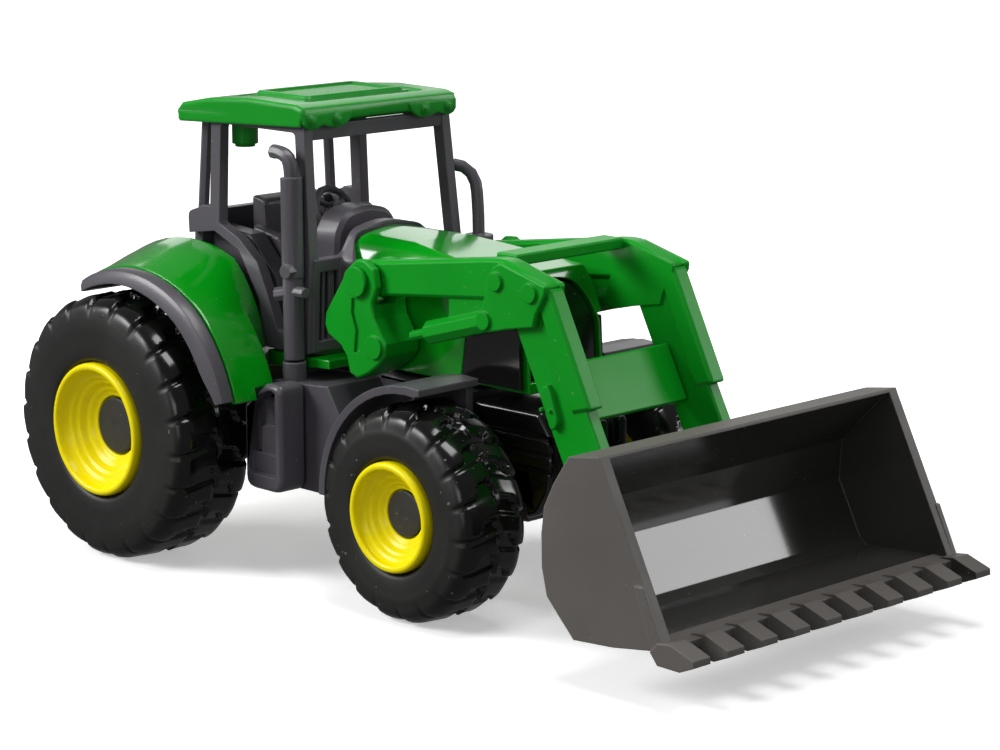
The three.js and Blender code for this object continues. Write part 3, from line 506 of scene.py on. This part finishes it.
def tyre_piece(label, side):
    wheel, node = WHEELS[label], f"{label}_tyre_{side}"
    low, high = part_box(node)
    centre_x, centre_z = (low.x + high.x) / 2 / MM, (low.z + high.z) / 2 / MM
    middle, half = (low.y + high.y) / 2 / MM, (high.y - low.y) / 2 / MM
    base = (high.z - low.z) / 2 / MM - wheel["block_height"]
    section, out = tyre_section(base, wheel["rim"], half), 1.0 if side == "left" else -1.0
    bm = bmesh.new()
    bmesh.ops.create_grid(bm, x_segments=wheel["blocks"] * wheel["per_block"], y_segments=2 * wheel["across"],
                          size=1.0)
    for vert in bm.verts:
        angle, t = math.pi * (vert.co.x + 1.0), vert.co.y          # t runs from one bead to the other
        radius, y = along_section(section, 1.0 - abs(t))
        y = math.copysign(y, t) if t else 0.0
        rise = block_rise(angle, y, radius, wheel, base, half) * wheel["block_height"]
        slope = smooth_step(abs(y), half - SPLAY_FROM, half - SPLAY_TO)
        radius += rise * (1.0 - SPLAY_DROP * slope)
        y += math.copysign(rise * SPLAY_OUT * slope, y)
        vert.co = (MM * (centre_x + radius * math.cos(angle)), MM * (middle + out * y),
                   MM * (centre_z + radius * math.sin(angle)))
    bmesh.ops.remove_doubles(bm, verts=bm.verts, dist=0.0005 * MM)
    bmesh.ops.bridge_loops(bm, edges=[e for e in bm.edges if e.is_boundary])
    finish = rubber_finish(f"rubber_{label}_{side}", (centre_x * MM, centre_z * MM), (base + 0.6) * MM)
    return add_piece(f"tyre_{label}_{side}", bm, node, finish, degrees=38.0, weighted=False)


for label in WHEELS:
    for side in ("right", "left"):
        made = tyre_piece(label, side)
        print(made.name, "faces:", len(made.data.polygons))

# %% [markdown]
# ## Rims and hub caps
# The rim is a turned shape: a rounded outer lip, a deep dish in shallow steps and a flat dark hub. Stacked
# cylinders would need joining, but a lathe profile spun about the axle gives the steps true circles in one go,
# and a small bevel breaks every corner.

# %% Spin and bevel
def turned(profile, centre, steps):
    """A closed loop of (radius, y) in mm spun about the axle at centre (x, z)."""
    bm = bmesh.new()
    ring = [bm.verts.new((MM * (centre[0] + r), MM * y, MM * centre[1])) for r, y in profile]
    edges = [bm.edges.new((a, b)) for a, b in zip(ring, ring[1:] + ring[:1])]
    bmesh.ops.spin(bm, geom=ring + edges, cent=(MM * centre[0], 0.0, MM * centre[1]), axis=(0.0, 1.0, 0.0),
                   dvec=(0.0, 0.0, 0.0), angle=2.0 * math.pi, steps=steps, use_merge=True, use_duplicate=False)
    bmesh.ops.remove_doubles(bm, verts=bm.verts, dist=0.0008 * MM)
    bmesh.ops.recalc_face_normals(bm, faces=bm.faces)
    return bm


def break_corners(bm, width, sharper_than, segments):
    """Bevels every edge that turns by more than sharper_than degrees; width in mm."""
    edges = [e for e in bm.edges if len(e.link_faces) == 2
             and abs(e.calc_face_angle(0.0)) > math.radians(sharper_than)]
    bmesh.ops.bevel(bm, geom=edges, offset=width * MM, offset_type="OFFSET", affect="EDGES", segments=segments,
                    profile=0.5, material=-1, clamp_overlap=True)


print("lathe and bevel ready")

# %% Turn the rims and hub discs
RIM_STEPS, DISC_STEPS = 96, 64
AXLE_HOLE = 1.55   # mm, radius


def rim_profile(rim, lip, k):
    """Hole, back and lip, then the dish step by step to the hub; k is the size beside a rear rim."""
    back = [(AXLE_HOLE, lip - 14.6 * k), (rim - 0.1, lip - 14.6 * k), (rim, lip - 0.75)]
    edge = [(rim - 0.18, lip - 0.22), (rim - 0.55, lip), (rim - 1.0, lip - 0.06), (rim - 1.25, lip - 0.34)]
    dish = [(9.65, 1.15), (9.0, 1.95), (8.55, 2.1), (8.05, 2.85), (7.55, 3.05), (6.9, 4.05), (6.3, 4.3),
            (5.7, 4.9), (5.05, 5.05), (5.0, 6.0)]
    return back + edge + [(r * k, lip - depth * k) for r, depth in dish] + [(AXLE_HOLE, lip - 6.0 * k)]


def disc_profile(lip, k):
    disc = [(0.0, 5.9), (4.7, 5.9), (4.7, 4.98), (4.3, 4.8), (1.2, 4.78), (1.0, 4.82), (0.0, 4.82)]
    return [(r * k, lip - depth * k) for r, depth in disc]


for label, wheel in WHEELS.items():
    for side, out in (("right", -1.0), ("left", 1.0)):
        low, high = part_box(f"{label}_rim_{side}")
        centre = ((low.x + high.x) / 2 / MM, (low.z + high.z) / 2 / MM)
        lip, k = max(abs(low.y), abs(high.y)) / MM, wheel["rim"] / WHEELS["rear"]["rim"]
        bm = turned([(r, out * y) for r, y in rim_profile(wheel["rim"], lip, k)], centre, RIM_STEPS)
        break_corners(bm, width=0.2, sharper_than=18.0, segments=3)
        add_piece(f"rim_{label}_{side}", bm, f"{label}_rim_{side}", degrees=40.0)
        bm = turned([(r, out * y) for r, y in disc_profile(lip, k)], centre, DISC_STEPS)
        add_piece(f"hub_disc_{label}_{side}", bm, f"{label}_hub_cap_{side}", degrees=40.0)
    print(label, "rims and hub discs made")

# %% [markdown]
# ## Rolled edges
# A thick moulding has no sharp edge: its outside corners roll over by a quarter of a millimetre. A Bevel modifier
# could do this, but it can't tell when it has spoilt a shape. So flat faces are merged on a copy, the bevel
# operator rolls its edges, and the copy is kept only if its size and volume are as they were. Thin or deeply
# curved mouldings break up when they are rolled, so only their finish rounds them.

# %% Roll the edges of a thick moulding
ROLL = {   # radius in mm of the rolled edges of the thicker mouldings
    "hood_shell": 0.25, "rear_fender_right": 0.25, "rear_fender_left": 0.25, "step_box_right": 0.2,
    "step_box_left": 0.2, "chassis_frame": 0.25, "seat": 0.35, "cab_tub": 0.25, "intake_pipe": 0.2,
    "front_support": 0.25, "grille_insert": 0.2, "grille_side_right": 0.15, "grille_side_left": 0.15,
}
FLAT_ANGLE, SHARP_ANGLE = 1.0, 30.0          # degrees
SHORTEST = 1.5                               # an edge is rolled if it is this many radii long
MOST_GROWTH, MOST_CHANGE = 0.03, 0.08        # mm past the old box, and share of the old volume


def extent(bm):
    corners = [[f(v.co[i] for v in bm.verts) for i in range(3)] for f in (min, max)]
    return Vector(corners[0]), Vector(corners[1])


def roll_edges(bm, width):
    """Rolls every long sharp edge over; returns a skin that is plain if the rolling would spoil its shape."""
    rolled = bm.copy()
    bmesh.ops.dissolve_limit(rolled, angle_limit=math.radians(FLAT_ANGLE), use_dissolve_boundaries=False,
                             verts=rolled.verts, edges=rolled.edges, delimit=set())
    sharp = [e for e in rolled.edges if len(e.link_faces) == 2 and e.calc_length() > SHORTEST * width * MM
             and abs(e.calc_face_angle(0.0)) > math.radians(SHARP_ANGLE)]
    bmesh.ops.bevel(rolled, geom=sharp, offset=width * MM, offset_type="OFFSET", affect="EDGES", segments=2,
                    profile=0.5, material=-1, clamp_overlap=False)
    (low, high), (new_low, new_high) = extent(bm), extent(rolled)
    grown = max(*(low - new_low), *(new_high - high))
    change = abs(rolled.calc_volume() / bm.calc_volume() - 1.0)
    good = grown < MOST_GROWTH * MM and change < MOST_CHANGE
    (bm if good else rolled).free()
    return (rolled if good else bm), good, change


print("mouldings to roll:", len(ROLL))

# %% [markdown]
# ## Mouldings taken from the jointed model
# The other hard pieces already have their true outline. They could be drawn again, but it is enough to join each
# one's skin, roll the edges of the thick ones and shade curves as curves. The finish rounds what is left.

# %% Join the hard mouldings
JOIN_GAP, SLIVER = 0.004 * MM, 0.002 * MM


def moulded_copy(node, degrees=CURVE_ANGLE, inner=None):
    """A node's own shape as one joined skin with smooth curves; faces that inner picks get a second finish."""
    name = node + "_moulding"
    bm = bmesh.new()
    bm.from_mesh(frame["nodes"][node].data)
    bmesh.ops.remove_doubles(bm, verts=bm.verts, dist=JOIN_GAP)
    bmesh.ops.dissolve_degenerate(bm, edges=bm.edges, dist=SLIVER)
    if node in ROLL:
        bm, good, change = roll_edges(bm, ROLL[node])
        print(name, "edges rolled" if good else "edges left sharp", f"volume change {change:.3f}", len(bm.faces))
    if inner:
        for face in bm.faces:
            face.material_index = int(inner(face))
    return add_piece(name, bm, node, roof_green if node == "roof" else None, degrees, outward=False)


TURNED_OR_WRAPPED = {f"{label}_{part}_{side}" for label in WHEELS for part in ("tyre", "rim", "hub_cap")
                     for side in ("right", "left")}
STEEL = ("rear_axle", "front_axle", "bucket_pin_right", "bucket_pin_left")
plain = sorted(set(frame["nodes"]) - TURNED_OR_WRAPPED - {*STEEL, "bucket_shell"})
for node in plain:
    moulded_copy(node)
print("mouldings joined:", len(plain))

# %% [markdown]
# ## The bucket's polished inside, with painted shade
# The core of a bucket mould is polished, so the inside comes out shiny and the outside is satin. The inside is
# also painted much darker than the outside, as painted shade. Two shells could be nested, but a second finish on
# the inner faces needs no new shape. The worn lip and its teeth stay satin.

# %% Join the bucket, polish its inside and paint shade on it
low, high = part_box("bucket_shell")
size = high - low
hollow = Vector((low.x + 0.64 * size.x, 0.0, low.z + 0.46 * size.z))   # a point in the bucket's open space
LIP_LONG, LIP_HIGH = 9.0 * MM, 12.0 * MM
SIDE_WALL, CHEEK_REACH = 1.2 * MM, 1.5 * MM


def faces_the_hollow(face):
    """True on the polished inside that is painted dark as shade: within the side walls and turned towards the
    bucket's hollow.
    """
    centre = face.calc_center_median()
    towards = Vector((hollow.x - centre.x, 0.0, hollow.z - centre.z))
    if abs(face.normal.y) > 0.5:
        return face.normal.y * centre.y < 0.0 and abs(centre.y) > 0.9 * high.y - CHEEK_REACH
    if centre.x > high.x - LIP_LONG and centre.z < low.z + LIP_HIGH:
        return False
    return abs(centre.y) < high.y - SIDE_WALL and towards.dot(face.normal) > 0.0


bucket = moulded_copy("bucket_shell", degrees=14.0, inner=faces_the_hollow)
# the second material: the polished inside, painted dark as shade
bucket.data.materials.append(bucket_gloss_and_painted_shade)
print("polished bucket faces:", sum(p.material_index for p in bucket.data.polygons))

# %% [markdown]
# ## Steel pins
# The axles and bucket pins are plain rods that hardly show. New ones could be turned, but their shape in the
# jointed model is right, so they only get the drawn steel.

# %% Give the pins their steel
for node in STEEL:
    metal = frame["nodes"][node].data
    metal.materials.clear()
    metal.materials.append(FINISHES["pin_steel"])
